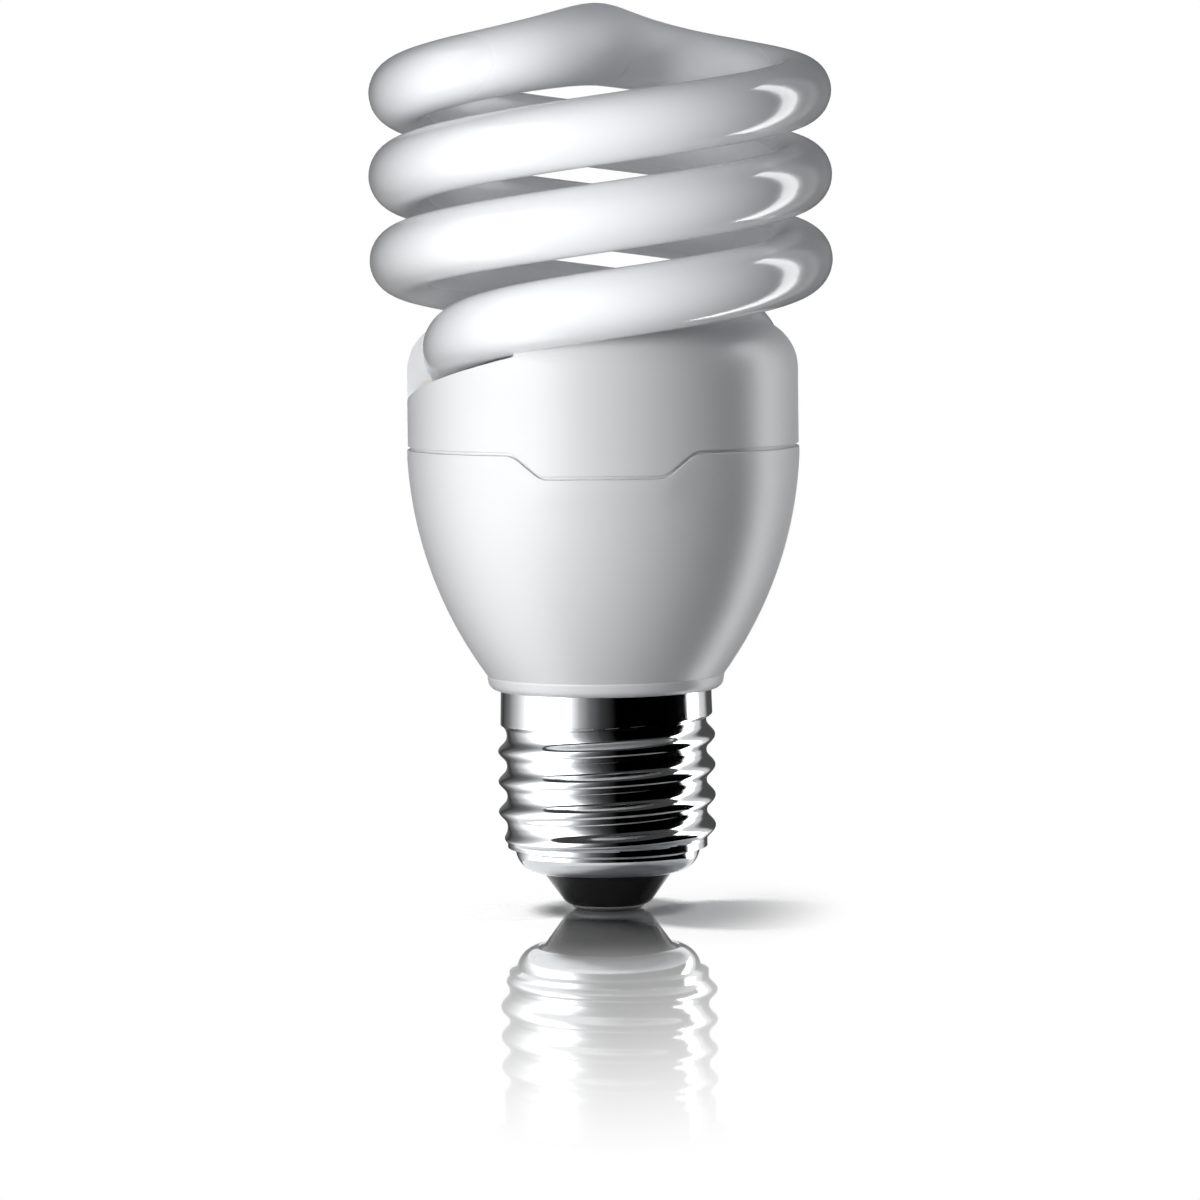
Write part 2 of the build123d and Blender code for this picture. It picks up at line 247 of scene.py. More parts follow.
def tubeStations():
    # (place, heading, width, height) of each ring, from the leg's end to the middle of the bridge
    s = tubeSizes
    runs = [(legPoint, s["legSteps"]), (coilPoint, s["coilSteps"]), (bridgePoint, s["bridgeSteps"])]
    stations = []
    for pointAt, steps in runs:
        onBridge = pointAt is bridgePoint
        for i in range(steps + 1 if onBridge else steps):
            t = i / steps
            early, late = max(0.0, t - s["headingStep"]), min(1.0, t + s["headingStep"])
            heading = (pointAt(late) - pointAt(early)).normalized()
            swell = 0.0
            if onBridge:
                swell = ease(1.0 - (1.0 - t) / s["coldSpotReach"])
                if t == 1.0:
                    heading = polar(math.radians(s["bridgeTurn"] + s["bridgeSweep"]), -1.0, 0.0)
            width = blendTo(s["glassRadius"], s["coldSpotWidth"], swell) / s["glassRadius"]
            height = blendTo(s["glassRadius"], s["coldSpotHeight"], swell) / s["glassRadius"]
            stations.append((pointAt(t) * mm, heading, width, height))
    return stations


def ringFrame(heading):
    side = Vector((0, 0, 1)).cross(heading).normalized()
    above = heading.cross(side)
    return Matrix((side, above, heading)).transposed()


def turnSelection(turning, centre):
    # with no window, rotate turns the other way
    for axis, angle in zip("XYZ", turning.to_euler("XYZ")):
        if abs(angle) > 1e-9:
            bpy.ops.transform.rotate(value=-angle, orient_axis=axis, orient_type="GLOBAL",
                                     center_override=centre)


def makeTube():
    s = tubeSizes
    stations = tubeStations()
    place, heading, width, height = stations[0]
    startClean()
    bpy.ops.mesh.primitive_circle_add(vertices=s["ringPoints"], radius=s["glassRadius"] * mm,
                                      location=place, rotation=ringFrame(heading).to_euler())
    tube = nameNew("coated_tube")
    bpy.ops.object.transform_apply(location=True, rotation=True, scale=True)
    bpy.ops.object.mode_set(mode="EDIT")
    bpy.ops.mesh.select_all(action="SELECT")
    for nextPlace, nextHeading, nextWidth, nextHeight in stations[1:]:
        bpy.ops.mesh.extrude_region_move(TRANSFORM_OT_translate={"value": nextPlace - place})
        turnSelection(ringFrame(nextHeading) @ ringFrame(heading).transposed(), nextPlace)
        if nextWidth != width or nextHeight != height:
            grow = nextWidth / width
            bpy.ops.transform.resize(value=(grow, grow, nextHeight / height), center_override=nextPlace)
        place, heading, width, height = nextPlace, nextHeading, nextWidth, nextHeight
    # the second limb is the first, half a turn round
    bpy.ops.mesh.select_all(action="SELECT")
    bpy.ops.mesh.duplicate()
    bpy.ops.transform.rotate(value=math.pi, orient_axis="Z", orient_type="GLOBAL",
                             center_override=(0, 0, 0))
    bpy.ops.mesh.select_all(action="SELECT")
    bpy.ops.mesh.remove_doubles(threshold=s["joinWithin"] * mm)
    # the open ends get a face each
    bpy.ops.mesh.select_all(action="DESELECT")
    bpy.ops.mesh.select_non_manifold()
    bpy.ops.mesh.edge_face_add()
    closeMesh()
    smoothShade(tube, s["smoothAngle"])
    return tube


# cap: the rolled shell with its thread, the black glass cone and the contact

shellSizes = {
    "rimRadius": 8.75,
    "bottom": 4.6,
    "bowlMiddle": (10.35, 5.55),
    "footRadius": 11.05,
    "footHeight": 7.5,
    "footRise": 1.3,
    "rootRadius": 11.95,
    "crestRadius": 13.0,
    "pitch": 3.629,
    "crestAtRight": 9.94,
    "waveShare": 0.55,          # of a plain wave in the thread's form, with a narrower ridge on it
    "ridgeReach": 0.38,         # in pitches
    "threadStart": -0.85,       # in turns, as the next three
    "threadRunIn": 0.7,
    "threadEnd": 3.0,
    "threadRunOut": 0.4,
    "threadLoss": 0.35,         # share of its height that the thread loses there
    "collarRadius": 12.68,
    "collarEdge": 22.75,
    "collarSlant": 0.6,
    "collarLead": 0.5,
    "collarRise": 0.6,
    "collarTaper": 0.1,
    "top": 26.5,
    "wall": 0.32,
    "lipEdge": 0.1,
    "innerTop": 22.0,
    "innerFoot": 9.4,
    "innerBend": 7.6,
    "innerBowl": (9.9, 5.7),
    "columns": 288,
    "threadRows": 132,
    "bowlRows": 12,
    "smoothAngle": 40,
}


def shellRadius(angle, height):
    s = shellSizes
    root = blendTo(s["footRadius"], s["rootRadius"], ease((height - s["footHeight"]) / s["footRise"]))
    turn = (angle % (2 * math.pi)) / (2 * math.pi)
    along = (height - s["crestAtRight"]) / s["pitch"] - turn
    nearest = round(along)
    crestTurn = nearest + turn
    away = abs(along - nearest)
    wave = (1.0 + math.cos(2 * math.pi * away)) / 2.0
    ridge = 1.0 - ease(away / s["ridgeReach"])
    bump = blendTo(ridge, wave, s["waveShare"])
    bump *= ease((crestTurn - s["threadStart"]) / s["threadRunIn"])
    bump *= 1.0 - s["threadLoss"] * ease((crestTurn - s["threadEnd"]) / s["threadRunOut"])
    radius = root + (s["crestRadius"] - s["rootRadius"]) * bump
    edge = s["collarEdge"] + s["collarSlant"] * math.cos(angle)
    rise = ease((height - edge + s["collarLead"]) / s["collarRise"])
    collar = blendTo(s["rootRadius"], s["collarRadius"], rise)
    taper = s["collarTaper"] * max(0.0, height - edge) / (s["top"] - edge)
    return max(radius, collar) - taper


def shellColumn(angle):
    s = shellSizes
    bowl = arcThrough((s["rimRadius"], s["bottom"]), s["bowlMiddle"],
                      (s["footRadius"], s["footHeight"]), s["bowlRows"])
    outer = bowl[:-1]
    rise = s["top"] - s["footHeight"]
    for i in range(s["threadRows"] + 1):
        height = s["footHeight"] + rise * i / s["threadRows"]
        outer.append((shellRadius(angle, height), height))
    root, foot, rim = (s[name] - s["wall"] for name in ("rootRadius", "footRadius", "rimRadius"))
    inner = [(outer[-1][0] - s["wall"], s["top"]), (root, s["innerTop"]), (root, s["innerFoot"]),
             (foot, s["innerBend"]), s["innerBowl"], (rim, s["bottom"] + s["wall"])]
    lip = [(rim, s["bottom"] + s["lipEdge"]), (s["rimRadius"] - s["lipEdge"], s["bottom"])]
    return lip + outer + inner + lip[:1]


def makeShell():
    shell = shapedSleeve("threaded_shell", shellSizes["columns"], shellColumn)
    smoothShade(shell, shellSizes["smoothAngle"])
    return shell


coneSizes = {
    "corners": [(0.0, 0.62, 0), (4.75, 0.62, 0.35), (5.25, 1.0, 0.5), (7.75, 4.45, 0.3),
                (8.35, 4.75, 0.2), (8.35, 6.2, 0), (0.0, 6.2, 0)],
    "cornerPoints": 6,
    "steps": 160,
    "smoothAngle": 40,
}
contactSizes = {
    "corners": [(0.0, 0.0, 0), (3.6, 0.0, 0.9), (4.3, 0.28, 0.3), (4.4, 0.66, 0.1), (0.0, 0.66, 0)],
    "cornerPoints": 6,
    "steps": 128,
    "smoothAngle": 40,
}


def makeTurned(name, s):
    piece = spinOutline(name, roundedOutline(s["corners"], s["cornerPoints"]), s["steps"])
    smoothShade(piece, s["smoothAngle"])
    return piece


def makeCone():
    return makeTurned("glass_cone", coneSizes)


def makeContact():
    return makeTurned("contact_button", contactSizes)


# plastic: the cup with its parting line and tab, and the cover with the two ramps for the tube's legs

cupSizes = {
    "parting": 55.46,
    "gap": 0.34,
    "tongue": 22.92,
    "tongueInner": 21.9,
    "tongueHeight": 1.0,
    "rimRadius": 23.4,
    "rimHeight": 55.5,
    "rimCorner": [(23.33, -0.6), (23.36, 0.0), (22.95, 0.0)],   # heights from the cup's top
    "rimRounding": 0.2,
    "midRadius": 20.54,
    "midHeight": 40.2,
    "footRadius": 14.1,
    "footHeight": 28.1,
    "footCorners": [(11.3, 14.0, 0), (11.3, 23.1, 0), (12.38, 23.1, 0), (12.38, 26.45, 0),
                    (13.3, 26.45, 0.35), (13.95, 26.95, 0.45), (14.12, 27.7, 0.25), (14.2, 28.25, 0)],
    "cornerPoints": 5,
    "neckBore": 9.7,
    "neckTop": 26.0,
    "wall": 1.6,
    "sideRows": 46,
    "sideStop": 0.45,           # the outer and the inner side end this far under the top
    "insideRows": 16,
    "insideStop": 0.3,
    "tabTop": 10.6,
    "tabFoot": 7.3,
    "tabDepth": 2.75,
    "tabRounding": 0.22,
    "tabReach": 49.0,
    "steps": 360,
    "smoothAngle": 35,
}


def tabDrop(x, y):
    # how far the parting line dips at this place of the rim
    s = cupSizes
    if y > 0:
        return 0.0
    t = (s["tabTop"] - abs(x)) / (s["tabTop"] - s["tabFoot"])
    c = s["tabRounding"]
    if t < -c:
        share = 0.0
    elif t < c:
        share = (t + c) ** 2 / (4 * c)
    elif t < 1 - c:
        share = t
    elif t < 1 + c:
        share = 1 - (1 + c - t) ** 2 / (4 * c)
    else:
        share = 1.0
    return s["tabDepth"] * share


def cupArc(inset, count):
    s = cupSizes
    return arcThrough((s["footRadius"] - inset, s["footHeight"]), (s["midRadius"] - inset, s["midHeight"]),
                      (s["rimRadius"] - inset, s["rimHeight"]), count)


def makeCup():
    s = cupSizes
    top = s["parting"] - s["gap"] / 2
    foot = roundedOutline(s["footCorners"], s["cornerPoints"])
    side = [p for p in cupArc(0.0, s["sideRows"]) if p[1] < top - s["sideStop"]]
    before, corner, after = ((r, top + z) for r, z in s["rimCorner"])
    edge = roundCorner(before, corner, after, s["rimRounding"], s["cornerPoints"])
    ridge = top + s["tongueHeight"]
    tongue = [(s["tongue"], top), (s["tongue"], ridge),
              (s["tongueInner"], ridge), (s["tongueInner"], top)]
    inside = [p for p in reversed(cupArc(s["wall"], s["insideRows"])) if p[1] < top - s["insideStop"]]
    neck = [(s["neckBore"], s["neckTop"]), (s["neckBore"], foot[0][1]), foot[0]]
    cup = spinOutline("lower_cup", foot[:-1] + side + edge + tongue + inside + neck, s["steps"])
    for vertex in cup.data.vertices:
        x, y, z = vertex.co / mm
        if z > s["tabReach"]:
            share = min(1.0, (z - s["tabReach"]) / (top - s["tabReach"]))
            vertex.co.z -= tabDrop(x, y) * share * mm
    smoothShade(cup, s["smoothAngle"])
    return cup


coverSizes = {
    "radius": 23.27,
    "top": 70.5,
    "shoulder": 6.0,
    "wall": 1.5,
    "skirtInner": 21.75,
    "skirtHeight": 1.2,
    "tongueRoom": 0.04,
    "rimRounding": 0.14,
    "rampDrop": 9.7,
    "rampLead": 33.8,
    "rampSweep": 63.0,
    "rampInner": 12.2,
    "edge": 0.28,
    "bend": 0.5,                # room for the roundings at the ramp's inner wall
    "hollowRounding": 0.4,
    "brimRounding": 0.3,
    # the underside, with heights from one wall under the ramp's low end
    "ceiling": [(0.0, 0.0), (8.0, 0.0), (18.0, 0.0), (21.0, -0.6)],
    "cornerPoints": 4,
    "columns": 360,
    "sideRows": 16,
    "shoulderRows": 24,
    "rampRows": 30,
    "innerRows": 10,
    "topRows": 8,
    "smoothAngle": 32,
}


def coverSide(height):
    # radius of the plain cover at this height
    s = coverSizes
    below = s["top"] - height
    if below >= s["shoulder"]:
        return s["radius"]
    across = math.sqrt(max(0.0, s["shoulder"] ** 2 - (s["shoulder"] - below) ** 2))
    return s["radius"] - s["shoulder"] + across


def coverColumn(angle):
    s = coverSizes
    top, inner, bend, points = s["top"], s["rampInner"], s["bend"], s["cornerPoints"]
    turn = math.degrees(angle) % 180.0          # both ramps are alike, half a turn apart
    onRamp = turn < s["rampSweep"]
    low = top - s["rampDrop"]
    high = low + s["rampLead"] * s["rampSweep"] / 360.0
    if onRamp:
        level = low + s["rampLead"] * turn / 360.0
    else:
        level = blendTo(high, low, (turn - s["rampSweep"]) / (180.0 - s["rampSweep"]))
    x, y = s["radius"] * math.cos(angle), s["radius"] * math.sin(angle)
    bottom = cupSizes["parting"] + cupSizes["gap"] / 2 - tabDrop(x, y)
    rebate, ledge = cupSizes["tongue"] + s["tongueRoom"], bottom + s["skirtHeight"]
    rim = [(s["skirtInner"], ledge), (rebate, ledge), (rebate, bottom)]
    rim += roundCorner((rebate, bottom), (s["radius"], bottom), (s["radius"], bottom + 1),
                       s["rimRounding"], points)
    under = level - s["edge"]
    side = spread([rim[-1], (s["radius"], min(under, top - s["shoulder"])), (coverSide(under), under)],
                  s["sideRows"])
    if onRamp:
        edge = roundCorner((coverSide(under), under), (coverSide(level), level), (inner, level),
                           s["edge"], points)
        floor = spread(edge[1:] + [(inner + bend, level)], s["rampRows"])
        hollow = roundCorner((inner + bend, level), (inner, level), (inner, top),
                             s["hollowRounding"], points)
        brim = roundCorner((inner, top - bend), (inner, top), (inner - 1, top), s["brimRounding"], points)
        wall = spread(hollow[1:] + [(inner, top - bend)] + brim, s["innerRows"])
    else:
        heights = [level + (top - level) * i / s["shoulderRows"] for i in range(s["shoulderRows"] + 1)]
        shoulder = [(coverSide(height), height) for height in heights]
        floor = spread(shoulder + [(inner + bend, top)], s["rampRows"])
        wall = spread([(inner + s["hollowRounding"], top), (inner - s["hollowRounding"], top)],
                      s["innerRows"])
    crown = spread([(inner - bend, top), (0.0, top)], s["topRows"])
    inside = [(r, low - s["wall"] + z) for r, z in s["ceiling"]]
    return rim + side[1:] + floor + wall + crown + inside + rim[:1]


def makeCover():
    cover = shapedSleeve("tube_cover", coverSizes["columns"], coverColumn)
    smoothShade(cover, coverSizes["smoothAngle"])
    return cover


# finishes

def newFinish(name):
    finish = bpy.data.materials.new(name)
    finish.use_nodes = True
    shader = finish.node_tree.nodes["Principled BSDF"]
    return finish, finish.node_tree, shader


def addNode(tree, kind, **values):
    node = tree.nodes.new(kind)
    for name, value in values.items():
        node.inputs[name].default_value = value
    return node


def grainGroup():
    # fine grain of a moulded or rolled surface: tone, roughness and height that change over it
    group = bpy.data.node_groups.new("surfaceGrain", "ShaderNodeTree")
    sockets = {
        "INPUT": {"Light": "Color", "Dark": "Color", "Patch Size": "Float", "Grain Size": "Float",
                  "Smooth": "Float", "Rough": "Float"},
        "OUTPUT": {"Color": "Color", "Roughness": "Float", "Height": "Float"},
    }
    for way, kinds in sockets.items():
        for name, kind in kinds.items():
            group.interface.new_socket(name=name, in_out=way, socket_type="NodeSocket" + kind)
    start = group.nodes.new("NodeGroupInput")
    end = group.nodes.new("NodeGroupOutput")
    coords = group.nodes.new("ShaderNodeTexCoord")
    patches = addNode(group, "ShaderNodeTexNoise", Detail=4.0, Roughness=0.55)
    grain = addNode(group, "ShaderNodeTexNoise", Detail=2.0, Roughness=0.6)
    tone = group.nodes.new("ShaderNodeMix")
    tone.data_type = "RGBA"
    rough = group.nodes.new("ShaderNodeMix")
    link = group.links.new
    link(coords.outputs["Object"], patches.inputs["Vector"])
    link(coords.outputs["Object"], grain.inputs["Vector"])
    link(start.outputs["Patch Size"], patches.inputs["Scale"])
    link(start.outputs["Grain Size"], grain.inputs["Scale"])
    link(patches.outputs["Fac"], tone.inputs["Factor"])
    link(start.outputs["Light"], tone.inputs["A"])
    link(start.outputs["Dark"], tone.inputs["B"])
    link(grain.outputs["Fac"], rough.inputs["Factor"])
    link(start.outputs["Smooth"], rough.inputs["A"])
    link(start.outputs["Rough"], rough.inputs["B"])
    link(tone.outputs["Result"], end.inputs["Color"])
    link(rough.outputs["Result"], end.inputs["Roughness"])
    link(grain.outputs["Fac"], end.inputs["Height"])
    return group


surfaceGrain = grainGroup()
grainDepth = 0.02


def grained(name, light, dark, smooth, rough, patch=90.0, grain=2600.0, bump=0.05, **plain):
    # plain values go straight to the shader's sockets
    finish, tree, shader = newFinish(name)
    group = tree.nodes.new("ShaderNodeGroup")
    group.node_tree = surfaceGrain
    values = {"Light": (*light, 1.0), "Dark": (*dark, 1.0), "Patch Size": patch, "Grain Size": grain,
              "Smooth": smooth, "Rough": rough}
    for socket, value in values.items():
        group.inputs[socket].default_value = value
    tree.links.new(group.outputs["Color"], shader.inputs["Base Color"])
    tree.links.new(group.outputs["Roughness"], shader.inputs["Roughness"])
    bumpNode = addNode(tree, "ShaderNodeBump", Strength=bump, Distance=grainDepth * mm)
    tree.links.new(group.outputs["Height"], bumpNode.inputs["Height"])
    tree.links.new(bumpNode.outputs["Normal"], shader.inputs["Normal"])
    for socket, value in plain.items():
        shader.inputs[socket].default_value = value
    return finish


# smooth and rough are the ends of the roughness, patch and grain the scales of tone and grain
finishLooks = {
    "coatedGlass": {"light": (0.875, 0.88, 0.895), "dark": (0.845, 0.852, 0.87), "smooth": 0.04,
                    "rough": 0.08, "patch": 60.0, "grain": 500.0, "bump": 0.02, "IOR": 1.47},
    "coverPlastic": {"light": (0.71, 0.712, 0.72), "dark": (0.69, 0.694, 0.702), "smooth": 0.37,
                     "rough": 0.45, "bump": 0.08, "IOR": 1.65},
    "cupPlastic": {"light": (0.71, 0.712, 0.722), "dark": (0.69, 0.694, 0.705), "smooth": 0.37,
                   "rough": 0.45, "bump": 0.08, "IOR": 1.65},
    "capMetal": {"light": (0.74, 0.755, 0.77), "dark": (0.67, 0.685, 0.70), "smooth": 0.05,
                 "rough": 0.11, "patch": 240.0, "grain": 1800.0, "bump": 0.1, "Metallic": 1.0},
    "contactMetal": {"light": (0.56, 0.56, 0.55), "dark": (0.44, 0.44, 0.43), "smooth": 0.24,
                     "rough": 0.4, "patch": 500.0, "grain": 1500.0, "bump": 0.2, "Metallic": 1.0},
    "blackGlass": {"light": (0.012, 0.012, 0.013), "dark": (0.02, 0.02, 0.021), "smooth": 0.12,
                   "rough": 0.22, "patch": 300.0, "grain": 900.0, "bump": 0.08, "IOR": 1.3},
    "cementWhite": {"light": (0.80, 0.78, 0.74), "dark": (0.68, 0.66, 0.62), "smooth": 0.8,
                    "rough": 0.95, "grain": 1400.0, "bump": 0.5},
    "boardPaper": {"light": (0.55, 0.36, 0.15), "dark": (0.46, 0.29, 0.11), "smooth": 0.5,
                   "rough": 0.65, "grain": 1200.0, "bump": 0.15},
    "canSleeve": {"light": (0.03, 0.04, 0.09), "dark": (0.02, 0.025, 0.06), "smooth": 0.3, "rough": 0.4},
    "ferriteGrey": {"light": (0.06, 0.06, 0.065), "dark": (0.04, 0.04, 0.045), "smooth": 0.55,
                    "rough": 0.7, "grain": 3200.0, "bump": 0.3},
    "bobbinBlack": {"light": (0.03, 0.03, 0.032), "dark": (0.02, 0.02, 0.022), "smooth": 0.4,
                    "rough": 0.5},
    "copperWire": {"light": (0.62, 0.27, 0.10), "dark": (0.48, 0.19, 0.07), "smooth": 0.25,
                   "rough": 0.4, "bump": 0.2, "Metallic": 1.0},
    "filmRed": {"light": (0.38, 0.05, 0.03), "dark": (0.30, 0.035, 0.02), "smooth": 0.25,
                "rough": 0.4, "bump": 0.2},
    "blackEpoxy": {"light": (0.025, 0.025, 0.027), "dark": (0.018, 0.018, 0.02), "smooth": 0.5,
                   "rough": 0.65, "bump": 0.2},
    "resistorTan": {"light": (0.55, 0.40, 0.22), "dark": (0.47, 0.33, 0.17), "smooth": 0.4,
                    "rough": 0.55},
    "tinnedWire": {"light": (0.70, 0.70, 0.69), "dark": (0.58, 0.58, 0.57), "smooth": 0.25,
                   "rough": 0.4, "Metallic": 1.0},
}
finishes = {name: grained(name, **look) for name, look in finishLooks.items()}

# the coating is dull up to the first distance from the axis, above the legs, and glossy past the second
dullCoating = {
    "dullTo": 17.0,
    "glossyFrom": 23.5,
    "glossyUnder": 71.0,
    "dullOver": 75.0,
    "roughness": 0.6,
}


def stepOf(tree, value, first, last):
    step = tree.nodes.new("ShaderNodeMapRange")
    step.interpolation_type = "SMOOTHSTEP"
    step.inputs["From Min"].default_value = first
    step.inputs["From Max"].default_value = last
    tree.links.new(value, step.inputs["Value"])
    return step.outputs["Result"]


def joinOf(tree, operation, a, b):
    node = tree.nodes.new("ShaderNodeMath")
    node.operation = operation
    for socket, value in zip(node.inputs, (a, b)):
        if isinstance(value, float):
            socket.default_value = value
        else:
            tree.links.new(value, socket)
    return node.outputs[0]


def dullInside(finish):
    s = dullCoating
    tree = finish.node_tree
    shader = tree.nodes["Principled BSDF"]
    polished = shader.inputs["Roughness"].links[0].from_socket
    coords = tree.nodes.new("ShaderNodeTexCoord")
    parts = tree.nodes.new("ShaderNodeSeparateXYZ")
    tree.links.new(coords.outputs["Object"], parts.inputs["Vector"])
    squares = [joinOf(tree, "MULTIPLY", parts.outputs[axis], parts.outputs[axis]) for axis in "XY"]
    reach = joinOf(tree, "POWER", joinOf(tree, "ADD", *squares), 0.5)
    inside = stepOf(tree, reach, s["glossyFrom"] * mm, s["dullTo"] * mm)
    above = stepOf(tree, parts.outputs["Z"], s["glossyUnder"] * mm, s["dullOver"] * mm)
    dull = joinOf(tree, "MULTIPLY", joinOf(tree, "MULTIPLY", inside, above), s["roughness"])
    tree.links.new(joinOf(tree, "MAXIMUM", dull, polished), shader.inputs["Roughness"])


dullInside(finishes["coatedGlass"])
print(len(finishes), "finishes mixed")


def dress(piece, finish):
    piece.data.materials.clear()
    piece.data.materials.append(finishes[finish])


innerFinishes = {
    "cementWhite": ["tube_cement_1", "tube_cement_2"],
    "boardPaper": ["circuit_board"],
    "canSleeve": ["smoothing_capacitor"],
    "ferriteGrey": ["choke_core", "drive_core", "filter_inductor"],
    "bobbinBlack": ["choke_bobbin"],
    "copperWire": ["choke_winding", "drive_windings", "filter_winding"],
    "filmRed": ["resonant_capacitor", "blocking_capacitor"],
    "blackEpoxy": ["transistor_high", "transistor_low", "trigger_diac", "rectifier_diode_1",
                   "rectifier_diode_2", "rectifier_diode_3", "rectifier_diode_4"],
    "resistorTan": ["start_resistor", "base_resistor", "fuse_resistor"],
    "tinnedWire": ["shell_lead", "contact_lead", "wire_post_1", "wire_post_2", "wire_post_3",
                   "wire_post_4", "tube_lead_1", "tube_lead_2", "tube_lead_3", "tube_lead_4"],
}

# the pieces are made, dressed and set in place of their nodes

outerPieces = [
    (makeTube, "coatedGlass", "spiral_tube", "coated_glass"),
    (makeCover, "coverPlastic", "tube_holder", "white_plastic"),
    (makeCup, "cupPlastic", "ballast_housing", "white_plastic"),
    (makeShell, "capMetal", "screw_shell", "cap_metal"),
    (makeCone, "blackGlass", "cap_insulator", "black_glass"),
    (makeContact, "contactMetal", "centre_contact", "contact_metal"),
]
pieces = {}
for make, finish, node, slot in outerPieces:
    piece = pieces[node] = make()
    dress(piece, finish)
    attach(piece, "root")
    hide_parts(node)
    print(piece.name, "made,", len(piece.data.polygons), "faces")
for finish, nodes in innerFinishes.items():
    for node in nodes:
        pieces[node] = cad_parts[node]
        dress(pieces[node], finish)

# stage: a pale floor that keeps the shadow, soft lamps, and a round tent that only reflections show

stageSizes = {
    "floorRadius": 4.0,
    "roundPoints": 96,
    "ambient": (0.13, 0.136, 0.147),
    "backdrop": (1.0, 1.0, 1.0),
    "floorTone": (0.9, 0.9, 0.9),
    "floorBounce": (0.2, 0.2, 0.2),     # the floor's tone for the light that it throws back
    "shadowShift": (-0.004, 0.0, 0.0),
    "shadowShape": (1.15, 0.75, 1.0),
    "shadowNear": 0.010,
    "shadowFar": 0.030,
    "mirrorRoughness": 0.025,
    "mirrorNear": 0.05,
    "mirrorFar": 0.175,
    "mirrorShape": (5.0, 1.0, 1.0),
    "mirrorShare": 0.75,
    "mirrorAtFoot": 1.4,
    "footNear": 0.028,
    "footFar": 0.058,
    # middle, full width and end of the spots at the foot where the floor mirrors less
    "dullSpots": [((0.0, 0.0, 0.0), 0.008, 0.012), ((0.0165, -0.0075, 0.0), 0.0115, 0.0155),
                  ((-0.012, -0.003, 0.0), 0.006, 0.009)],
    "dullShare": 0.3,
}
tentSizes = {
    "radius": 1.3,
    "height": 1.5,
    "strength": 9.0,
    "roof": 0.06,
    "footHole": 0.02,
    "screenRadius": 1.25,
    "screenHeight": 1.35,
    # turn from the camera's side, to the right, and how bright the tent is there
    "wall": [(-180, 0.02), (-165, 0.02), (-150, 0.005), (-130, 0.025), (-112, 0.08), (-100, 0.14),
             (-90, 0.24), (-80, 0.32), (-70, 0.36), (-50, 0.36), (-43, 0.28), (-37, 0.14), (-29, 0.06),
             (-18, 0.02), (-6, 0.006), (10, 0.0), (95, 0.0), (99, 0.2), (102, 1.0), (112, 1.0),
             (115, 0.3), (120, 0.1), (131, 0.08), (140, 0.01), (165, 0.008), (180, 0.02)],
}
# tall lamps close by light the glass and the housing, weaker ones the other sides, and one the floor
bodyParts = ["tube_holder", "ballast_housing", "tube_cement_1", "tube_cement_2", "cap_insulator",
             "centre_contact"]
allButShell = ["spiral_tube", *bodyParts]
# azimuth is turned to the right from the camera's side
lamps = {
    "tubeLamp": {"azimuth": -20, "elevation": 0, "distance": 0.115, "height": 0.075,
                 "size": (0.03, 0.14), "power": 0.122, "lit": ["spiral_tube"]},
    "bodyLamp": {"azimuth": -31, "elevation": 0, "distance": 0.115, "height": 0.053,
                 "size": (0.03, 0.105), "power": 0.105, "lit": bodyParts},
    "backLamp": {"azimuth": 176, "elevation": 0, "distance": 0.14, "height": 0.07,
                 "size": (0.05, 0.14), "power": 0.085, "lit": allButShell},
    "rightLamp": {"azimuth": 118, "elevation": 0, "distance": 0.115, "height": 0.07,
                  "size": (0.03, 0.14), "power": 0.042, "lit": allButShell},
    "topLamp": {"azimuth": 90, "elevation": 89, "distance": 0.3, "height": 0.0,
                "size": (0.1, 0.1), "power": 0.035, "lit": allButShell},
    "floorLamp": {"azimuth": -120, "elevation": 60, "distance": 0.95, "height": 0.06,
                  "size": (0.4, 0.4), "power": 9.5, "lit": ["floor"]},
}


def seenDirectly(tree):
    # 1 for the camera's own rays and for what metal and glass show of them
    path = tree.nodes.new("ShaderNodeLightPath")
    total = path.outputs["Is Camera Ray"]
    for name in ("Is Glossy Ray", "Is Transmission Ray"):
        total = joinOf(tree, "ADD", total, path.outputs[name])
        total.node.use_clamp = True
    return total


def mixColours(tree, share, first, second):
    mix = tree.nodes.new("ShaderNodeMix")
    mix.data_type = "RGBA"
    mix.inputs["A"].default_value = (*first, 1.0)
    mix.inputs["B"].default_value = (*second, 1.0)
    tree.links.new(share, mix.inputs["Factor"])
    return mix.outputs["Result"]


def mixShaders(tree, share, first, second):
    mix = tree.nodes.new("ShaderNodeMixShader")
    tree.links.new(share, mix.inputs["Fac"])
    tree.links.new(first, mix.inputs[1])
    tree.links.new(second, mix.inputs[2])
    return mix.outputs["Shader"]


def clearFromBehind(tree, surface):
    side = tree.nodes.new("ShaderNodeNewGeometry")
    clear = tree.nodes.new("ShaderNodeBsdfTransparent")
    return mixShaders(tree, side.outputs["Backfacing"], surface, clear.outputs["BSDF"])


def showSurface(tree, surface):
    tree.links.new(surface, tree.nodes["Material Output"].inputs["Surface"])


def makeWorld():
    world = bpy.data.worlds.new("studio")
    bpy.context.scene.world = world
    world.use_nodes = True
    tree = world.node_tree
    light = mixColours(tree, seenDirectly(tree), stageSizes["ambient"], stageSizes["backdrop"])
    tree.links.new(light, tree.nodes["Background"].inputs["Color"])


